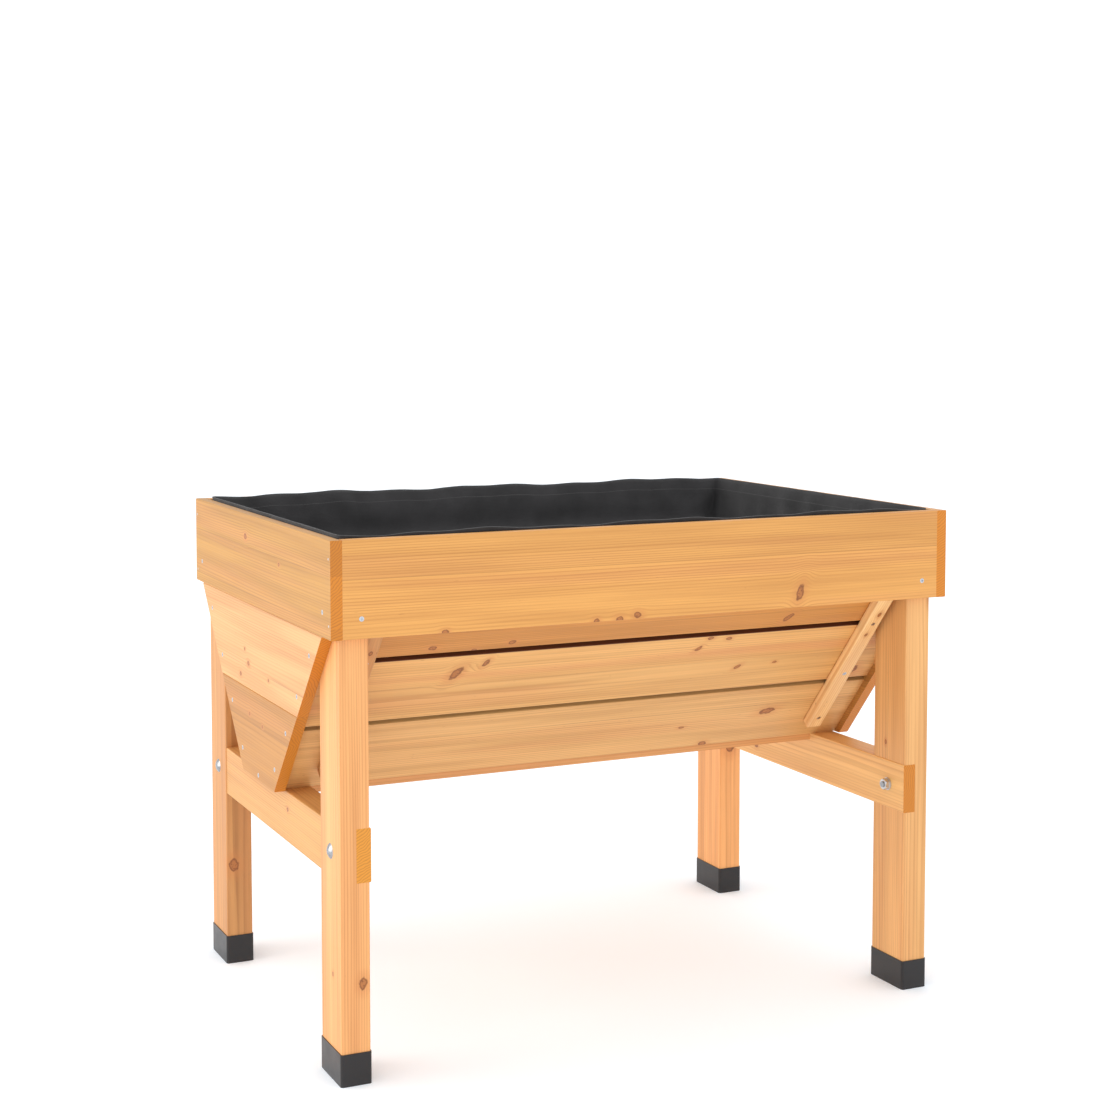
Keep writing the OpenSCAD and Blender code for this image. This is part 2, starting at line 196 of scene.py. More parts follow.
def knot_field(tree, board, v, knots, through):
    """The nearest knot's distance in its own radii, and v with the grain pushed round the knots."""
    ragged = stretched(tree, board, (0.12, 0.16, 0.16), Detail=2.0)
    ragged = add(tree, "MapRange", ragged, 0.25, 0.75, -RAGGED, RAGGED)
    nearest, pushed = add(tree, "Math", 99.0, 0.0, operation="ADD"), v
    for knot_u, knot_v, knot_w, radius, *turned in knots:
        away = add(tree, "VectorMath", board, (knot_u, knot_v, knot_w), operation="SUBTRACT")
        long = LONG
        if turned:
            away = add(tree, "VectorRotate", away, Angle=-math.radians(turned[0]), rotation_type="Z_AXIS")
            long = LONG_TURNED
        in_radii = (long / radius, 1 / radius, through / radius)
        away = add(tree, "VectorMath", away, in_radii, operation="MULTIPLY")
        distance = add(tree, "VectorMath", away, operation="LENGTH").outputs["Value"]
        nearest = add(tree, "Math", nearest, distance, operation="MINIMUM")
        squared = add(tree, "Math", distance, distance, operation="MULTIPLY")
        fade = add(tree, "Math", squared, FLOW_FADE, operation="MULTIPLY")
        fade = add(tree, "Math", fade, operation="EXPONENT")
        side = add(tree, "Math", v, float(knot_v), operation="SUBTRACT")
        pull = add(tree, "Math", side, fade, operation="MULTIPLY")
        pull = add(tree, "Math", pull, FLOW, operation="MULTIPLY")
        pushed = add(tree, "Math", pull, pushed, operation="ADD")
    return add(tree, "Math", nearest, ragged, operation="ADD"), pushed


def late_wood(tree, board, strip_step, chances, pushed, quarter):
    """How much of the dark late wood a point is in: a saw-tooth of its distance to the pith."""
    wander = stretched(tree, board, (0.0009, 0.006, 0.006), strip_step, Detail=1.0)
    wander = add(tree, "MapRange", wander, 0.0, 1.0, -WANDER_MM, WANDER_MM)
    reach = 40.0 + 160.0 * quarter
    pith_v = add(tree, "MapRange", chances[0], 0.0, 1.0, -reach, reach)
    pith_w = add(tree, "MapRange", chances[1], 0.0, 1.0, 35.0, 95.0 - 50.0 * quarter)
    ring_v = add(tree, "Math", add(tree, "Math", pushed, pith_v, operation="ADD"), wander, operation="ADD")
    w = add(tree, "SeparateXYZ", board).outputs["Z"]
    ring_w = add(tree, "Math", w, pith_w, operation="ADD")
    radius = add(tree, "VectorMath", add(tree, "CombineXYZ", ring_v, ring_w), operation="LENGTH")
    rings = add(tree, "Math", radius.outputs["Value"], 1.0 / RING_MM, operation="MULTIPLY")
    uneven = stretched(tree, board, (0.0012, 0.05, 0.05), strip_step, Detail=2.0)
    uneven = add(tree, "Math", uneven, UNEVEN, operation="MULTIPLY")
    ring = add(tree, "Math", add(tree, "Math", rings, uneven, operation="ADD"), operation="FRACT")
    rising = add(tree, "MapRange", ring, LATE_START, LATE_PEAK, 0.0, 1.0, interpolation_type="SMOOTHSTEP")
    falling = add(tree, "MapRange", ring, LATE_PEAK, 1.0, 1.0, 0.0, interpolation_type="SMOOTHSTEP")
    return add(tree, "Math", rising, falling, operation="MULTIPLY")


print("rings every", RING_MM, "mm")

# %% [markdown]
# ### The finish itself
# Planed softwood under a thin honey-coloured stain: a satin surface, roughness about 0.5, with the pores
# and the late wood standing up by a few hundredths of a millimetre. Sawn ends drink more stain than
# faces, so they are darker and more orange. Every board gets its own pale and deep colour.
#
# The gaps between the slats look dark on the real planter, mostly because they are in shade. The light
# here is too even for that, so the slats' long edges are painted dark brown in a band about a millimetre
# wide, as a damp liner might stain them. It is a stand-in for shade and not something known of the wood.

# %% Timber
KNOT, KNOT_CRACK, KNOT_HALO = linear("AC6831"), linear("683516"), linear("C97F44")
FLECK, SAWN_RING = linear("8C5427"), linear("8E4A14")
BLUSH = linear("D28C56")     # the pinkish heartwood
# Painted shade: a dark brown for the slats' long edges, standing for the shade in the gaps between them.
GAP_SHADE = linear("54220B")      # the slats' dark long edges
GAP_SHADE_MM = (1.6, 0.4)         # how far from a slat's edge that band begins, and where it is full
GLUE_TONE = 0.74             # how bright a glue line is beside the wood


def timber(name, node, along, across, pale, deep, lines=(), knots=(), seed=1, blush=0.22, quarter=0.7,
           through=0.05, flecks=0.5, tones=0.05, damp=0.0, sawn="D2801A"):
    """Stained fir for one board.

    along and across are its directions, pale and deep its two colours, and sawn the colour of its ends.
    lines are the glue lines and knots (u, v, w, radius), all in mm from the board's middle. A fifth number
    turns a knot by that many degrees. quarter is how upright the rings stand: 0 gives arches and 1
    straight lines. through is 0.05 where a knot runs through a thin board and 1 where it is a round one on
    thick timber. blush is how pink its heartwood gets, tones how much its strips differ, and damp how far
    its long edges are painted with dark shade, which stands for the shade in the gaps between slats."""
    material, tree = new_material(name)
    board = board_space(tree, node, along, across)
    v = add(tree, "SeparateXYZ", board).outputs["Y"]
    strip, chances, joint = strips(tree, v, lines, seed)
    step = add(tree, "CombineXYZ", strip, strip, strip)
    step = add(tree, "VectorMath", step, (3.7, 5.3, 9.1), operation="MULTIPLY")
    nearest, pushed = knot_field(tree, board, v, knots, through)
    late = late_wood(tree, board, step, chances, pushed, quarter)

    # Rings show in some zones and fade in others; bands and fibres run along the board.
    zone = stretched(tree, board, (0.0016, 0.022, 0.022), step, Detail=2.0)
    zone = add(tree, "MapRange", zone, 0.36, 0.64, 0.16, 0.68)
    band = stretched(tree, board, (0.0022, 0.055, 0.055), step, Detail=2.0)
    fibre = stretched(tree, board, (0.012, 1.0, 1.0), Detail=3.0, Roughness=0.6)
    share = add(tree, "Math", late, zone, operation="MULTIPLY")
    wash = add(tree, "MapRange", band, 0.40, 0.68, 0.0, 0.42)
    colour = add(tree, "Mix", wash, linear(pale), linear(deep), data_type="RGBA")
    colour = add(tree, "Mix", share, colour, linear(deep), data_type="RGBA")
    pink = stretched(tree, board, (0.0014, 0.026, 0.026), step, Detail=1.0)
    pink = add(tree, "MapRange", pink, 0.52, 0.68, 0.0, float(blush))
    colour = add(tree, "Mix", pink, colour, BLUSH, data_type="RGBA")

    value = add(tree, "MapRange", chances[2], 0.0, 1.0, 1.0 - tones, 1.0 + tones)
    fibre_tone = add(tree, "MapRange", fibre, 0.28, 0.72, 0.93, 1.05)
    value = add(tree, "Math", value, fibre_tone, operation="MULTIPLY")
    glue = add(tree, "MapRange", joint, 0.0, 1.0, 1.0, GLUE_TONE)
    value = add(tree, "Math", value, glue, operation="MULTIPLY")
    tint = add(tree, "CombineXYZ", value, value, value)
    colour = add(tree, "VectorMath", colour, tint, operation="MULTIPLY")

    # Flecks are short dashes, a few to a board. Knots are brown, with a dark bark, cracks and a halo.
    fleck = stretched(tree, board, (0.07, 0.42, 0.42), Detail=1.0)
    fleck = add(tree, "MapRange", fleck, 0.755, 0.83, 0.0, float(flecks))
    colour = add(tree, "Mix", fleck, colour, FLECK, data_type="RGBA")
    halo = add(tree, "MapRange", nearest, 0.7, 2.8, 0.42, 0.0, interpolation_type="SMOOTHSTEP")
    colour = add(tree, "Mix", halo, colour, KNOT_HALO, data_type="RGBA")
    core = add(tree, "MapRange", nearest, 0.72, 1.05, 0.88, 0.0, interpolation_type="SMOOTHSTEP")
    colour = add(tree, "Mix", core, colour, KNOT, data_type="RGBA")
    crack = stretched(tree, board, (0.22, 0.32, 0.32), Detail=2.0)
    crack = add(tree, "MapRange", crack, 0.54, 0.64, 0.0, 0.7)
    bark = add(tree, "MapRange", nearest, 0.45, 0.85, 0.0, 0.9, interpolation_type="SMOOTHSTEP")
    crack = add(tree, "Math", crack, bark, operation="MAXIMUM")
    crack = add(tree, "Math", crack, core, operation="MULTIPLY")
    colour = add(tree, "Mix", crack, colour, KNOT_CRACK, data_type="RGBA")

    # Painted shade: the long edges are darkened to stand for the shade in the gaps between the slats.
    if damp:
        half = half_width(node, across)
        edge = add(tree, "Math", v, operation="ABSOLUTE")
        begins, full = (half - inwards for inwards in GAP_SHADE_MM)
        edge = add(tree, "MapRange", edge, begins, full, 0.0, damp, interpolation_type="SMOOTHSTEP")
        colour = add(tree, "Mix", edge, colour, GAP_SHADE, data_type="RGBA")

    # The sawn ends are the faces that look along the board.
    facing = add(tree, "NewGeometry").outputs["Normal"]
    facing = add(tree, "VectorMath", facing, tuple(Vector(along).normalized()), operation="DOT_PRODUCT")
    facing = add(tree, "Math", facing.outputs["Value"], operation="ABSOLUTE")
    end = add(tree, "MapRange", facing, 0.35, 0.65, 0.0, 1.0, interpolation_type="SMOOTHSTEP")
    end_value = add(tree, "MapRange", chances[1], 0.0, 1.0, 0.83, 1.03)
    end_tint = add(tree, "CombineXYZ", end_value, end_value, end_value)
    end_colour = add(tree, "VectorMath", linear(sawn)[:3], end_tint, operation="MULTIPLY")
    ring_share = add(tree, "Math", late, 0.42, operation="MULTIPLY")
    end_colour = add(tree, "Mix", ring_share, end_colour, SAWN_RING, data_type="RGBA")
    colour = add(tree, "Mix", end, colour, end_colour, data_type="RGBA")

    rough = add(tree, "MapRange", fibre, 0.2, 0.8, 0.44, 0.60)
    height = fibre
    for part, amount in ((late, 0.5), (joint, -1.2), (crack, -1.5)):
        raised = add(tree, "Math", part, amount, operation="MULTIPLY")
        height = add(tree, "Math", height, raised, operation="ADD")
    bump = add(tree, "Bump", Strength=0.20, Distance=0.0004, Height=height)
    shader = add(tree, "BsdfPrincipled", Base_Color=colour, Roughness=rough, Normal=bump, IOR=1.5)
    close_material(tree, shader)
    return material


X, Y, Z = Vector((1, 0, 0)), Vector((0, 1, 0)), Vector((0, 0, 1))


def finish_node(node, material):
    """Gives a CAD node its material in every slot of its mesh."""
    mesh = nodes[node].data
    if not mesh.materials:
        mesh.materials.append(material)
    for i in range(len(mesh.materials)):
        mesh.materials[i] = material


def finish_board(node, along, across, **look):
    """Gives one board its own timber."""
    finish_node(node, timber("stained_fir_" + node, node, along, across, **look))


# %% [markdown]
# ## The trough's lean
# The slats lie along the end panels' sloping edges. The slope comes from the panels' own boxes: how much
# wider the upper board's top is than the lower board's top, over the height between them.

# %% Directions in the trough
lower_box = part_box("left_panel_lower")
upper_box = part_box("left_panel_upper")
spread = upper_box[1].y - lower_box[1].y
rise = upper_box[1].z - lower_box[1].z
lean = math.atan2(spread, rise)
up_slope = {"front": Vector((0, -math.sin(lean), math.cos(lean))),
            "rear": Vector((0, math.sin(lean), math.cos(lean)))}
print("the trough's sides lean", round(math.degrees(lean), 1), "degrees")

# %% [markdown]
# ## The rim boards
# Four wide boards, planed and glued up from strips. The front one has one knot at the right and a few
# small ones along its lower edge.

# %% Rim boards
finish_board("front_rim_board", X, Z, pale="DD9F53", deep="B47636", lines=(14,), seed=3, quarter=0.95,
             knots=((250, -48, 0, 7, 70), (-355, -70, 0, 4), (-110, -70, 0, 4), (-70, -70, 0, 5),
                    (-40, -65, 0, 5)), flecks=0.3)
finish_board("rear_rim_board", X, Z, pale="DEA05A", deep="BD7D3C", lines=(-20,), seed=11, quarter=0.9,
             knots=((-310, 22, 0, 6), (120, -40, 0, 5)), flecks=0.3)
finish_board("left_rim_board", Y, Z, pale="BD893F", deep="97652A", lines=(-55, 20), seed=21, quarter=0.9,
             knots=((60, 35, 0, 5), (-120, 10, 0, 3)))
finish_board("right_rim_board", Y, Z, pale="D9A464", deep="B67A40", lines=(8,), seed=27, quarter=0.9,
             knots=((-140, -30, 0, 6),))

# %% [markdown]
# ## The end panels
# Each end of the trough is closed by two boards with sawn, sloping ends. They carry more flecks than
# the other boards do.

# %% End panels
panel_seeds = {"left": 31, "right": 37}
for side, seed in panel_seeds.items():
    finish_board(f"{side}_panel_upper", Y, Z, pale="DDA86E", deep="B67A45", lines=(-34, 38), seed=seed,
                 quarter=0.8, flecks=0.6,
                 knots=((50, -28, 0, 4), (95, -52, 0, 4), (70, -8, 0, 3), (-60, -38, 0, 3)))
    finish_board(f"{side}_panel_lower", Y, Z, pale="BD8440", deep="99632B", lines=(16,), seed=seed + 3,
                 quarter=0.6, flecks=0.6, knots=((45, 30, 0, 3), (-25, 22, 0, 3)))

# %% [markdown]
# ## The slats
# Three boards on each side, each glued up from two strips, some with a blush of pinkish heartwood. The
# rear ones carry the same knots, turned round, on other timber.

# %% Slats
slat_looks = {
    "low": dict(pale="E6B170", deep="B88143", lines=(30,), seed=41, blush=0.27,
                knots=((340, 12, 0, 8, 12), (180, -12, 0, 3, 4), (240, -64, 0, 6))),
    "middle": dict(pale="E3AD69", deep="B67D41", lines=(4,), seed=45, blush=0.52, tones=0.07,
                   knots=((-285, 30, 0, 8, 62), (-240, 50, 0, 5, 66), (135, 42, 0, 4, 50), (150, 66, 0, 4),
                          (185, 62, 0, 4), (230, -14, 0, 4, 40), (300, -10, 0, 3), (468, -48, 0, 10))),
    # The top slats' timber is darker than the lower ones' as painted shade: it stands for the shade under
    # the rim boards.
    "top": dict(pale="D08D45", deep="A36629", lines=(-30,), seed=51, blush=0.52,
                knots=((280, -44, 0, 6, 48), (-340, -54, 0, 5), (-210, -54, 0, 5), (-270, -66, 0, 4))),
}
for side, slope in up_slope.items():
    for level, look in slat_looks.items():
        if side == "rear":
            turned = [(-u, -v, *rest) for u, v, *rest in look["knots"]]
            look = {**look, "seed": look["seed"] + 20, "knots": turned}
        finish_board(f"{side}_slat_{level}", X, slope, damp=0.97, **look)

# %% [markdown]
# ## Legs, rails, battens and floor
# The legs are glued up from laths, which shows as long straight lines down their outer faces. The timber
# is thick, so its knots are round ones near the surface and don't run through.

# %% Frame timber
leg_looks = {
    "front_left": dict(pale="E7A768", deep="BB7841", lines=(24,), seed=81,
                       knots=((-197, -45, -11, 7), (-189, -8, 22, 3))),
    "front_right": dict(pale="E4AC6C", deep="B97C42", lines=(4,), seed=86, knots=((60, 10, 22, 3),)),
    "rear_left": dict(pale="CC9155", deep="9A6331", lines=(-18,), seed=91, knots=((-175, -45, 10, 9),)),
    "rear_right": dict(pale="EFAB69", deep="BD793E", lines=(16,), seed=96, blush=0.0,
                       knots=((-60, -45, 2, 9),)),
}
rail_looks = {
    "left_cross_rail": dict(pale="D09B5A", deep="AA7238", sawn="E4972D", seed=111,
                            knots=((-90, 12, 0, 4),)),
    # The right cross rail's timber is paler than the other boards' as painted light: it stands for the
    # strong light from the left on its inner face.
    "right_cross_rail": dict(pale="F3C07A", deep="CC9150", seed=115, knots=((120, -20, 0, 4),)),
}
for corner, look in leg_looks.items():
    finish_board(f"{corner}_leg", Z, Y, quarter=0.95, through=1.0, flecks=0.25, **look)
for rail, look in rail_looks.items():
    finish_board(rail, Y, Z, quarter=0.5, flecks=0.3, **look)
# The front left batten gets darker timber than the others as painted shade: it stands in the shade of its
# leg.
pale_batten, shade_painted_batten = ("FFD495", "DCA064"), ("C98F55", "A06A38")
for i, corner in enumerate(leg_looks):
    side = corner.split("_")[0]
    pale, deep = shade_painted_batten if corner == "front_left" else pale_batten
    finish_board(f"{corner}_batten", up_slope[side], X, pale=pale, deep=deep, quarter=0.9, seed=131 + 3 * i,
                 knots=((70, -2, 0, 3), (120, 2, 0, 4)), flecks=0.7)
finish_board("floor_board", X, Y, pale="DFA365", deep="BA7B42", seed=151, knots=((80, 20, 0, 6),))
for i, cleat in enumerate(("left_floor_cleat", "right_floor_cleat")):
    finish_board(cleat, Y, X, pale="DFA365", deep="BA7B42", seed=161 + i)
print(sum(1 for m in bpy.data.materials if m.name.startswith("stained_fir")), "timber finishes")

# %% [markdown]
# ## Metal and plastic
# The fasteners are steel with bright zinc plating. The bolts get a darker and shinier one than the nuts
# and washers do. The foot caps are black polythene with a fine moulded texture.

# %% Zinc plate and black plastic
def zinc_plate(name, dark, bright, rough):
    """Bright zinc on steel: a pale metal whose plating is a little uneven."""
    material, tree = new_material(name)
    place = add(tree, "TexCoord").outputs["Object"]
    mottle = add(tree, "TexNoise", place, Scale=260.0, Detail=3.0)
    colour = add(tree, "Mix", mottle.outputs["Fac"], linear(dark), linear(bright), data_type="RGBA")
    grit = add(tree, "TexNoise", place, Scale=1400.0, Detail=2.0)
    roughness = add(tree, "MapRange", mottle.outputs["Fac"], 0.3, 0.7, rough - 0.06, rough + 0.08)
    bump = add(tree, "Bump", Strength=0.12, Distance=0.0002, Height=grit.outputs["Fac"])
    shader = add(tree, "BsdfPrincipled", Base_Color=colour, Metallic=1.0, Roughness=roughness,
                 Normal=bump.outputs["Normal"])
    close_material(tree, shader)
    return material


def black_polythene(name):
    """Moulded black plastic with a fine spark-eroded texture, scuffed paler near the ground."""
    material, tree = new_material(name)
    place = add(tree, "TexCoord").outputs["Object"]
    cloud = add(tree, "TexNoise", place, Scale=38.0, Detail=4.0)
    height = add(tree, "SeparateXYZ", place).outputs["Z"]
    scuff = add(tree, "MapRange", height, 0.0, 0.012, 0.5, 0.0)
    share = add(tree, "Math", cloud.outputs["Fac"], 0.25, operation="MULTIPLY")
    share = add(tree, "Math", share, scuff, operation="ADD")
    colour = add(tree, "Mix", share, linear("0F0B0D"), linear("2B2728"), data_type="RGBA")
    grit = add(tree, "TexNoise", place, Scale=900.0, Detail=2.0)
    roughness = add(tree, "MapRange", cloud.outputs["Fac"], 0.3, 0.7, 0.30, 0.38)
    bump = add(tree, "Bump", Strength=0.25, Distance=0.0003, Height=grit.outputs["Fac"])
    shader = add(tree, "BsdfPrincipled", Base_Color=colour, Roughness=roughness,
                 Normal=bump.outputs["Normal"], IOR=1.51)
    close_material(tree, shader)
    return material


bolt_zinc = zinc_plate("bright_zinc_bolts", "7A7C80", "B4B5B7", 0.24)
nut_zinc = zinc_plate("bright_zinc_nuts", "B4B5B8", "E4E4E5", 0.36)
screw_zinc = zinc_plate("bright_zinc_screws", "A9ADB3", "DDE0E4", 0.32)
cap_plastic = black_polythene("black_polythene_caps")
finish_node("frame_bolts", bolt_zinc)
for node in ("bolt_washers", "frame_nuts"):
    finish_node(node, nut_zinc)
for node in ("rim_screws", "panel_screws", "batten_screws", "floor_screws", "cleat_screws", "rim_nails"):
    finish_node(node, screw_zinc)
for corner in ("front_left", "front_right", "rear_left", "rear_right"):
    finish_node(f"{corner}_foot_cap", cap_plastic)
print("fasteners and foot caps finished")

# %% [markdown]
# ## The liner
# The liner is a bag of black non-woven fabric: one strip laid across the trough from rim to rim, with a
# piece sewn on at each end. It could be a smooth shell, but real fabric is cut a little large and settles
# in folds. So the bag is worked out as a clean form first, and a cloth simulation then lets it fall
# against a copy of the trough with its hem held.
#
# The form is a profile in Y and Z, wall, slope, foot, slope, wall, run along X. Near each end it steps up
# over the cleat that closes the trough's foot.

# %% The liner's form
liner_low, liner_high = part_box("liner")
wall_y, end_x, foot_z = liner_high.y, liner_high.x, liner_low.z
foot_y = -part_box("front_slat_low")[1].y
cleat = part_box("right_floor_cleat")
cleat_rise, cleat_x = cleat[1].z - foot_z, cleat[0].x
rim_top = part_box("front_rim_board")[1].z
bend_z = foot_z + (wall_y - foot_y) / math.tan(lean)
WALL_STEPS, SLOPE_STEPS, FOOT_STEPS, LENGTH_STEPS = 6, 36, 24, 76
SIDE_STEPS = WALL_STEPS + SLOPE_STEPS
HEM_PROUD, HEM_WAVE = 0.0035, 0.0028     # how far the hem stands above the rim, and how much it waves


def foot_height(x):
    """The foot's height: level, with a smooth step up over each cleat, 12 mm long."""
    share = np.clip((np.abs(x) - (cleat_x - 0.014)) / 0.012, 0.0, 1.0)
    return foot_z + (cleat_rise + 0.0005) * share * share * (3 - 2 * share)


def hem_height(along):
    """The hem's height: two slow waves of different length along the rim."""
    wave = 0.6 * np.sin(along * 2 * math.pi / 0.31 + 1.2) + 0.4 * np.sin(along * 2 * math.pi / 0.117 + 4.0)
    return rim_top + HEM_PROUD + HEM_WAVE * wave


def slope_y(z, inset):
    """The half-width at height z: the sloping face, moved inwards by inset, or the upright wall."""
    slope = foot_y + (z - foot_z) * math.tan(lean) - inset / math.cos(lean)
    return np.minimum(slope, wall_y - inset)


def liner_points(inset):
    """The whole bag, inset from the wood: the strip's rows by columns, then the two ends' inner points."""
    x = np.linspace(-end_x + inset, end_x - inset, LENGTH_STEPS + 1)
    low = foot_height(x) + inset
    share_wall = np.linspace(0, 1, WALL_STEPS + 1)[:, None]
    share_slope = np.linspace(0, 1, SLOPE_STEPS + 1)[1:, None]
    side_z = np.vstack([hem_height(x)[None, :] * (1 - share_wall) + bend_z * share_wall,
                        bend_z * (1 - share_slope) + low[None, :] * share_slope])
    side_y = -slope_y(side_z, inset)
    across = np.linspace(0, 1, FOOT_STEPS + 1)[1:-1, None]
    foot_edge = side_y[-1][None, :]
    y = np.vstack([side_y, foot_edge * (1 - 2 * across), -side_y[::-1]])
    z = np.vstack([side_z, np.repeat(low[None, :], FOOT_STEPS - 1, 0), side_z[::-1]])
    strip = np.stack([np.broadcast_to(x, y.shape), y, z], -1)
    share = np.linspace(0, 1, FOOT_STEPS + 1)[None, 1:-1, None]
    ends = []
    for column in (0, -1):
        front = strip[:SIDE_STEPS, column][:, None]
        rear = strip[::-1][:SIDE_STEPS, column][:, None]
        ends.append((front * (1 - share) + rear * share).reshape(-1, 3))
    return np.vstack([strip.reshape(-1, 3), *ends])


rows, columns = 2 * SIDE_STEPS + FOOT_STEPS + 1, LENGTH_STEPS + 1
ids = np.arange(rows * columns).reshape(rows, columns)


def quads(grid):
    """Four-sided faces between the neighbours of a grid of vertex numbers."""
    return np.stack([grid[:-1, :-1], grid[1:, :-1], grid[1:, 1:], grid[:-1, 1:]], -1).reshape(-1, 4)


def end_grid(column, first):
    """An end piece's vertex numbers: its sides and foot are the strip's own, so the seam is closed."""
    grid = np.empty((SIDE_STEPS + 1, FOOT_STEPS + 1), int)
    grid[:, 0] = ids[:SIDE_STEPS + 1, column]
    grid[:, -1] = ids[::-1][:SIDE_STEPS + 1, column]
    grid[-1] = ids[SIDE_STEPS:SIDE_STEPS + FOOT_STEPS + 1, column]
    grid[:-1, 1:-1] = first + np.arange(SIDE_STEPS * (FOOT_STEPS - 1)).reshape(SIDE_STEPS, -1)
    return grid


end_count = SIDE_STEPS * (FOOT_STEPS - 1)
left_grid, right_grid = end_grid(0, ids.size), end_grid(-1, ids.size + end_count)
liner_faces = np.vstack([quads(ids), quads(left_grid)[:, ::-1], quads(right_grid)])
hem_ids = np.unique(np.concatenate([ids[0], ids[-1], left_grid[0], right_grid[0]]))
print(ids.size + 2 * end_count, "points in the liner,", len(hem_ids), "of them on the hem")

# %% [markdown]
# ### Letting it settle
# The cloth starts 4 mm clear of the wood and a little too large for it (a negative shrink), so it buckles
# into shallow folds when gravity lays it down. The trough that it falls on is thrown away afterwards.
# Last, each point is held inside the wood and within a short way of where it began.

# %% Cloth simulation
START_INSET, HEM_INSET, CLEAR, MOST_MOVE = 0.004, 0.0015, 0.0006, 0.013
LAST_FRAME = 34


def mesh_object(name, points, faces):
    """A mesh object from arrays of points and faces, at the origin."""
    made = bpy.data.meshes.new(name)
    made.from_pydata(points.tolist(), [], faces.tolist())
    obj = bpy.data.objects.new(name, made)
    bpy.context.scene.collection.objects.link(obj)
    return obj


def settled(start):
    """The start's points after the cloth has fallen into the trough."""
    cloth = mesh_object("falling_cloth", start, liner_faces)
    trough = mesh_object("falling_trough", liner_points(0.0), liner_faces[:, ::-1])
    trough.modifiers.new("collision", "COLLISION")
    trough.collision.thickness_outer = 0.001
    trough.collision.cloth_friction = 25.0
    held = cloth.vertex_groups.new(name="held")
    held.add(hem_ids.tolist(), 1.0, "REPLACE")
    fall = cloth.modifiers.new("cloth", "CLOTH")
    fabric = fall.settings
    fabric.quality = 6
    fabric.mass = 0.25
    fabric.tension_stiffness = fabric.compression_stiffness = 18.0
    fabric.shear_stiffness = 8.0
    fabric.bending_stiffness = 1.5
    fabric.shrink_min = -0.022
    fabric.vertex_group_mass = "held"
    fall.collision_settings.distance_min = 0.0015
    fall.collision_settings.collision_quality = 3
    fall.point_cache.frame_end = LAST_FRAME
    for step in range(1, LAST_FRAME + 1):
        bpy.context.scene.frame_set(step)
    shaped = cloth.evaluated_get(bpy.context.evaluated_depsgraph_get()).data
    points = np.empty(len(shaped.vertices) * 3)
    shaped.vertices.foreach_get("co", points)
    bpy.context.scene.frame_set(1)
    for used in (cloth, trough):
        bpy.data.objects.remove(used, do_unlink=True)
    return points.reshape(-1, 3)


def kept_inside(points, start):
    """The points, moved no further than MOST_MOVE and held clear of the wood on every side."""
    move = points - start
    length = np.linalg.norm(move, axis=1, keepdims=True)
    points = start + move * np.minimum(1.0, MOST_MOVE / np.maximum(length, 1e-9))
    points[:, 0] = np.clip(points[:, 0], -end_x + CLEAR, end_x - CLEAR)
    points[:, 2] = np.maximum(points[:, 2], foot_height(points[:, 0]) + CLEAR)
    widest = slope_y(points[:, 2], CLEAR)
    points[:, 1] = np.clip(points[:, 1], -widest, widest)
    return points


liner_start = liner_points(START_INSET)
liner_start[hem_ids] = liner_points(HEM_INSET)[hem_ids]
liner_co = kept_inside(settled(liner_start), liner_start)
moved = np.linalg.norm(liner_co - liner_start, axis=1)
mean_mm, most_mm = (round(float(length) * MM, 1) for length in (moved.mean(), moved.max()))
print("the cloth moved", mean_mm, "mm on average and", most_mm, "mm at most")

# %% [markdown]
# ### Thickness, hem and cloth map
# The settled surface gets its wall from Solidify, twice as thick in the turned hem. A UV map in metres
# measures along the rim and down from the hem, so the fabric's pattern and the stitches follow it.

# %% The liner piece
HEM_WIDTH, HEM_THICK = 0.025, 0.0022
liner_cloth = mesh_object("liner_cloth", liner_co, liner_faces)
liner_mesh = liner_cloth.data
liner_mesh.shade_smooth()
flat_form = liner_points(0.0)
girth = np.linalg.norm(np.diff(flat_form[ids[:, LENGTH_STEPS // 2]], axis=0), axis=1)
down = np.concatenate([[0.0], np.cumsum(girth)])
girth_length = down[-1]
down = np.minimum(down, girth_length - down)
strip_down = np.repeat(down[:, None], columns, 1)
end_down = np.repeat(down[:SIDE_STEPS + 1, None], FOOT_STEPS + 1, 1)


def grid_uv(u, v):
    """Each face corner's u and v, in the order that quads gives the corners."""
    table = np.stack([u, v], -1)
    corners = [table[:-1, :-1], table[1:, :-1], table[1:, 1:], table[:-1, 1:]]
    return np.stack(corners, -2).reshape(-1, 4, 2)


uv = np.concatenate([
    grid_uv(flat_form[ids][..., 0], strip_down),
    grid_uv(flat_form[left_grid][..., 1], end_down)[:, ::-1],
    grid_uv(flat_form[right_grid][..., 1], end_down)])
liner_mesh.uv_layers.new(name="cloth").data.foreach_set("uv", uv.ravel().astype(np.float32))
hem_group = liner_cloth.vertex_groups.new(name="hem")
deep_enough = np.concatenate([strip_down.ravel(), np.tile(np.repeat(down[:SIDE_STEPS], FOOT_STEPS - 1), 2)])
hem_group.add(np.flatnonzero(deep_enough < HEM_WIDTH).tolist(), 1.0, "REPLACE")

smoother = liner_cloth.modifiers.new("smooth", "SUBSURF")
smoother.levels = smoother.render_levels = 1
wall = liner_cloth.modifiers.new("wall", "SOLIDIFY")
wall.thickness = HEM_THICK
wall.offset = -1.0
wall.vertex_group = "hem"
wall.thickness_vertex_group = 0.5

# %% [markdown]
# ### Its fabric
# Spun-bonded polypropylene: fibres pressed together, with a grid of small points where a roller melted
# them. That gives the eye a matt black with a faint regular dimple, about 2.5 mm apart here.

# %% Non-woven fabric
DOT_MM, STITCH_MM = 2.5, 5.0   # from one dimple to the next, and from one stitch to the next
STITCH_IN_MM = 4.0             # how far the stitches are from the hem's lower edge


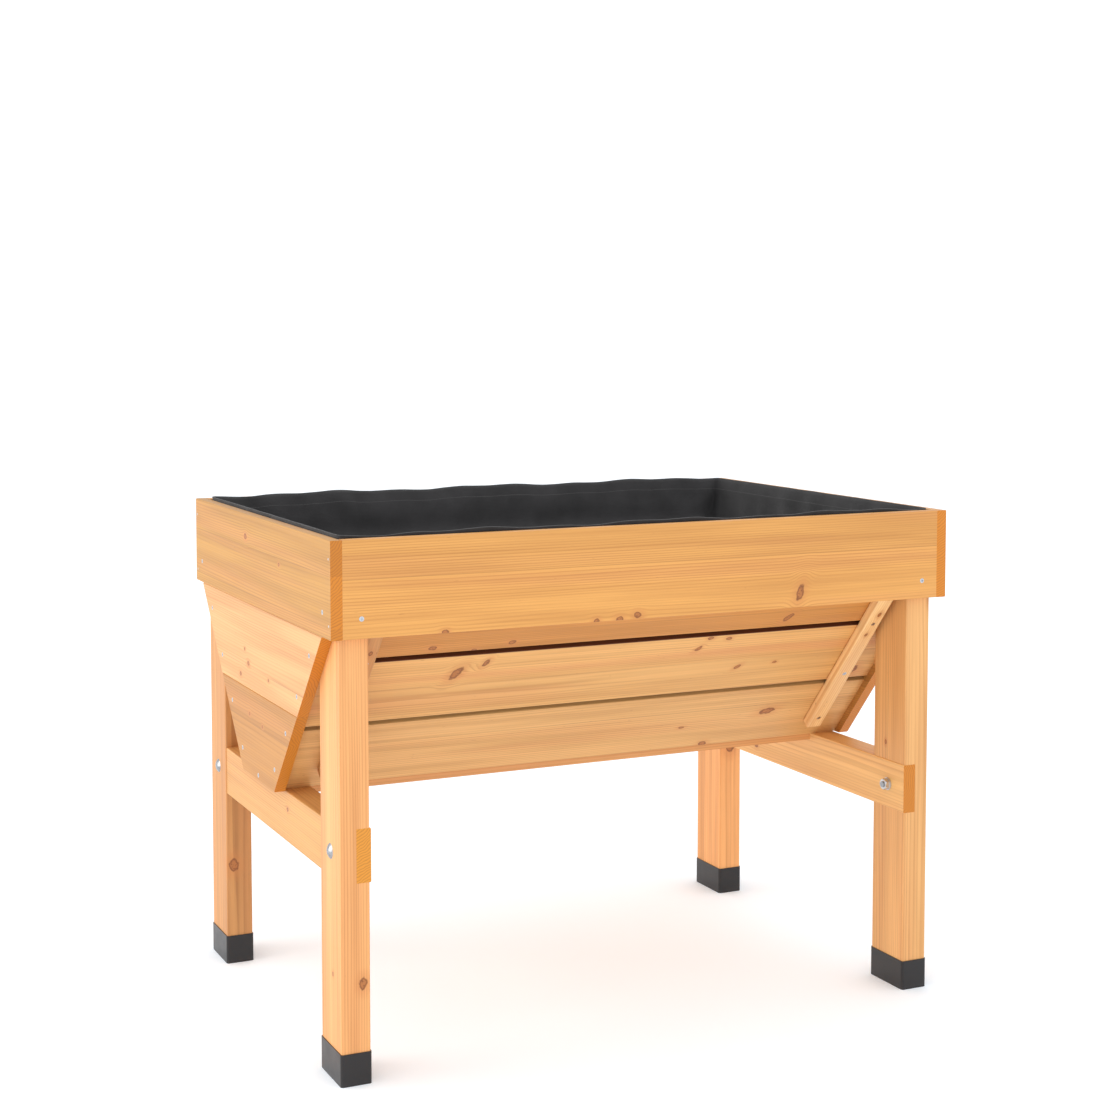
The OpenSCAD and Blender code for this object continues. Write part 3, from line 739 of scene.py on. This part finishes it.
def nonwoven(name):
    """Black spun-bonded fabric, with a row of stitches along its hem."""
    material, tree = new_material(name)
    place = add(tree, "UVMap", uv_map="cloth")
    in_mm = add(tree, "VectorMath", place, (MM, MM, MM), operation="MULTIPLY")
    parts = add(tree, "SeparateXYZ", in_mm)
    dimple = add(tree, "TexVoronoi", in_mm, Scale=1 / DOT_MM, Randomness=0.12, voronoi_dimensions="2D")
    dimple = add(tree, "MapRange", dimple.outputs["Distance"], 0.12, 0.34, 0.0, 1.0)
    fibres = add(tree, "TexNoise", in_mm, Scale=0.9, Detail=4.0, Roughness=0.7)
    cloud = add(tree, "TexNoise", in_mm, Scale=0.012, Detail=3.0)
    share = add(tree, "Math", dimple, 0.35, operation="MULTIPLY")
    share = add(tree, "Math", fibres.outputs["Fac"], share, operation="MULTIPLY")
    share = add(tree, "Math", share, cloud.outputs["Fac"], operation="ADD")
    share = add(tree, "MapRange", share, 0.3, 0.9, 0.0, 1.0)
    colour = add(tree, "Mix", share, linear("1B1B1C"), linear("383739"), data_type="RGBA")
    offset = add(tree, "Math", parts.outputs["Y"], HEM_WIDTH * MM - STITCH_IN_MM, operation="SUBTRACT")
    row = add(tree, "MapRange", add(tree, "Math", offset, operation="ABSOLUTE"), 0.4, 0.8, 1.0, 0.0)
    dash = add(tree, "Math", parts.outputs["X"], 1 / STITCH_MM, operation="MULTIPLY")
    dash = add(tree, "Math", dash, operation="FRACT")
    dash = add(tree, "Math", dash, 0.62, operation="LESS_THAN")
    stitch = add(tree, "Math", row, dash, operation="MULTIPLY")
    colour = add(tree, "Mix", stitch, colour, linear("4A494A"), data_type="RGBA")
    height = add(tree, "Math", dimple, 0.8, operation="MULTIPLY")
    height = add(tree, "Math", height, stitch, operation="ADD")
    fuzz = add(tree, "Math", fibres.outputs["Fac"], 0.5, operation="MULTIPLY")
    height = add(tree, "Math", height, fuzz, operation="ADD")
    bump = add(tree, "Bump", Strength=0.5, Distance=0.0005, Height=height)
    shader = add(tree, "BsdfPrincipled", Base_Color=colour, Roughness=0.88, Normal=bump, Sheen_Weight=0.15)
    close_material(tree, shader)
    return material


liner_mesh.materials.append(nonwoven("black_nonwoven_liner"))
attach(liner_cloth, "root")
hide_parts("liner")
print("liner finished")

# %% [markdown]
# ## Floor and light
# A pale floor that glows faintly, like a light table, and a white sky make the surroundings, so nearly
# all shadows wash out. The main light is large and low and stands at the left, so the left faces are the
# brightest and it reaches under the trough.

# %% Studio
floor_size, floor_glow, sky_strength = 60.0, 0.14, 1.14
mesh = bpy.data.meshes.new("studio_floor")
half = floor_size / 2
corners = [(-half, -half, 0), (half, -half, 0), (half, half, 0), (-half, half, 0)]
mesh.from_pydata(corners, [], [(0, 1, 2, 3)])
floor = bpy.data.objects.new("studio_floor", mesh)
bpy.context.scene.collection.objects.link(floor)
floor_paint, tree = new_material("pale_floor_paint")
close_material(tree, add(tree, "BsdfPrincipled", Base_Color=linear("F5FAFF"), Roughness=0.9,
                         Emission_Color=linear("F4F9FF"), Emission_Strength=floor_glow))
mesh.materials.append(floor_paint)

world = bpy.data.worlds.new("studio")
world.use_nodes = True
sky = world.node_tree.nodes["Background"].inputs
sky["Color"].default_value = (1.0, 1.0, 1.0, 1.0)
sky["Strength"].default_value = sky_strength
bpy.context.scene.world = world
bpy.context.scene.view_settings.view_transform = "Standard"


def soft_box(name, place, target, size, power, colour="FFFFFF"):
    """A square area light that stands at place and shines at target."""
    data = bpy.data.lights.new(name, "AREA")
    data.shape = "SQUARE"
    data.size = size
    data.energy = power
    data.color = linear(colour)[:3]
    light = bpy.data.objects.new(name, data)
    light.location = place
    light.rotation_euler = (Vector(target) - Vector(place)).to_track_quat("-Z", "Y").to_euler()
    bpy.context.scene.collection.objects.link(light)
    return light


aim = (0.0, 0.0, 0.40)
soft_box("key_light", (-3.5, 0.7, 1.15), aim, 2.4, 52.0, "FFFAF2")
soft_box("front_light", (-1.6, -3.9, 0.9), aim, 2.0, 12.0)
print("studio ready")
